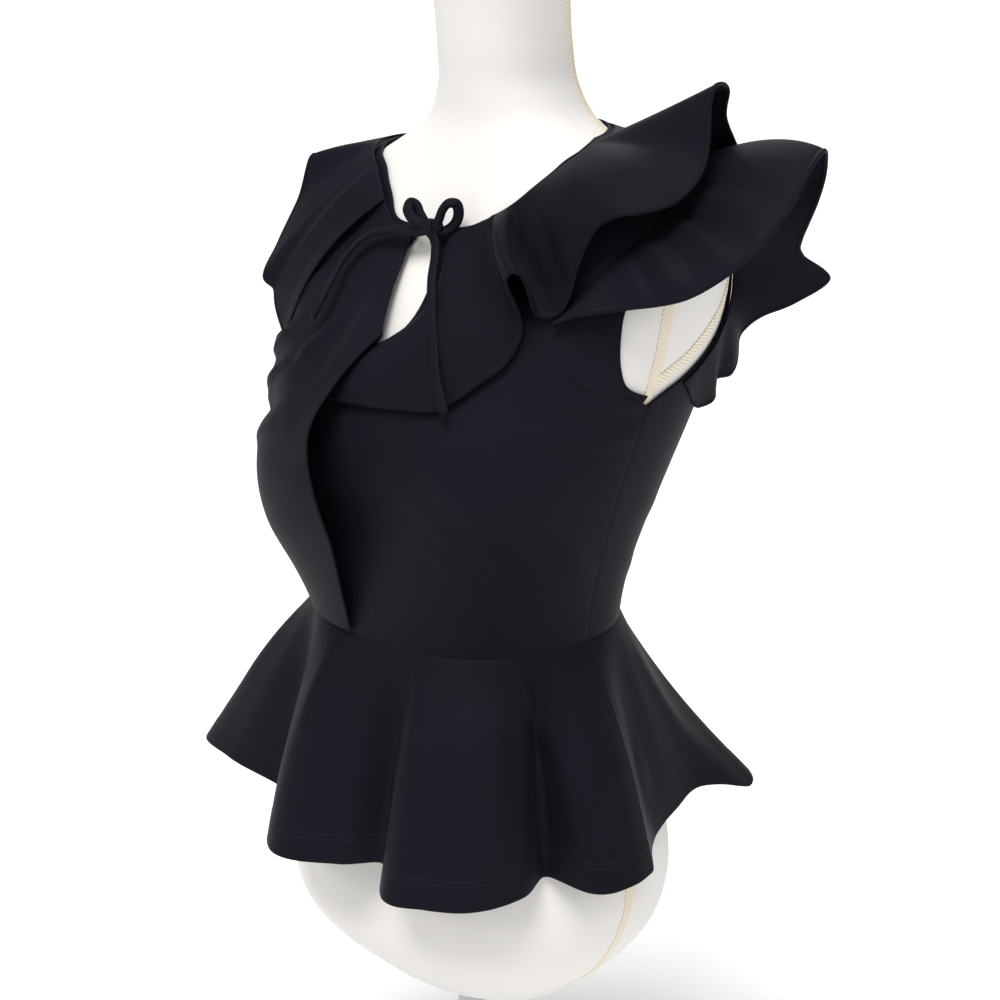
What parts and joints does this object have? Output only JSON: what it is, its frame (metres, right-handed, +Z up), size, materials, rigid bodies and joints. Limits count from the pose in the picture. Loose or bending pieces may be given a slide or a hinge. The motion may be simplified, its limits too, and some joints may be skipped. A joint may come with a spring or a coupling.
{
  "type": "peplum top on a dress form",
  "caption": "Sleeveless black knit peplum top with ruffled neck and shoulders, a tied keyhole and a flared hem, on an armless dress form with a pole stand.",
  "frame": {"origin": "centre of the stand foot's underside", "axes": "+Z up, -Y towards the front of the form, +X towards the form's left side"},
  "size_m": [0.4748, 0.3586, 0.975],
  "materials": {
    "black_knit": "matte double knit with a faint sheen",
    "form_cover": "plain white cotton stretched smooth",
    "stand_metal": "satin plated steel"
  },
  "bodies": {
    "root": {"dress_form": "form_cover", "stand_pole": "stand_metal", "stand_foot": "stand_metal", "bodice_front_left": "black_knit", "bodice_front_right": "black_knit", "armhole_panel_left": "black_knit", "armhole_panel_right": "black_knit", "bodice_back": "black_knit", "peplum_front": "black_knit", "peplum_back": "black_knit", "neck_ruffle_left": "black_knit", "neck_ruffle_right": "black_knit", "shoulder_ruffle_left": "black_knit", "shoulder_ruffle_right": "black_knit", "front_drape": "black_knit", "tie_knot": "black_knit", "tie_loop_left": "black_knit", "tie_loop_right": "black_knit", "tie_tail_left": "black_knit", "tie_tail_right": "black_knit"}
  },
  "joints": []
}
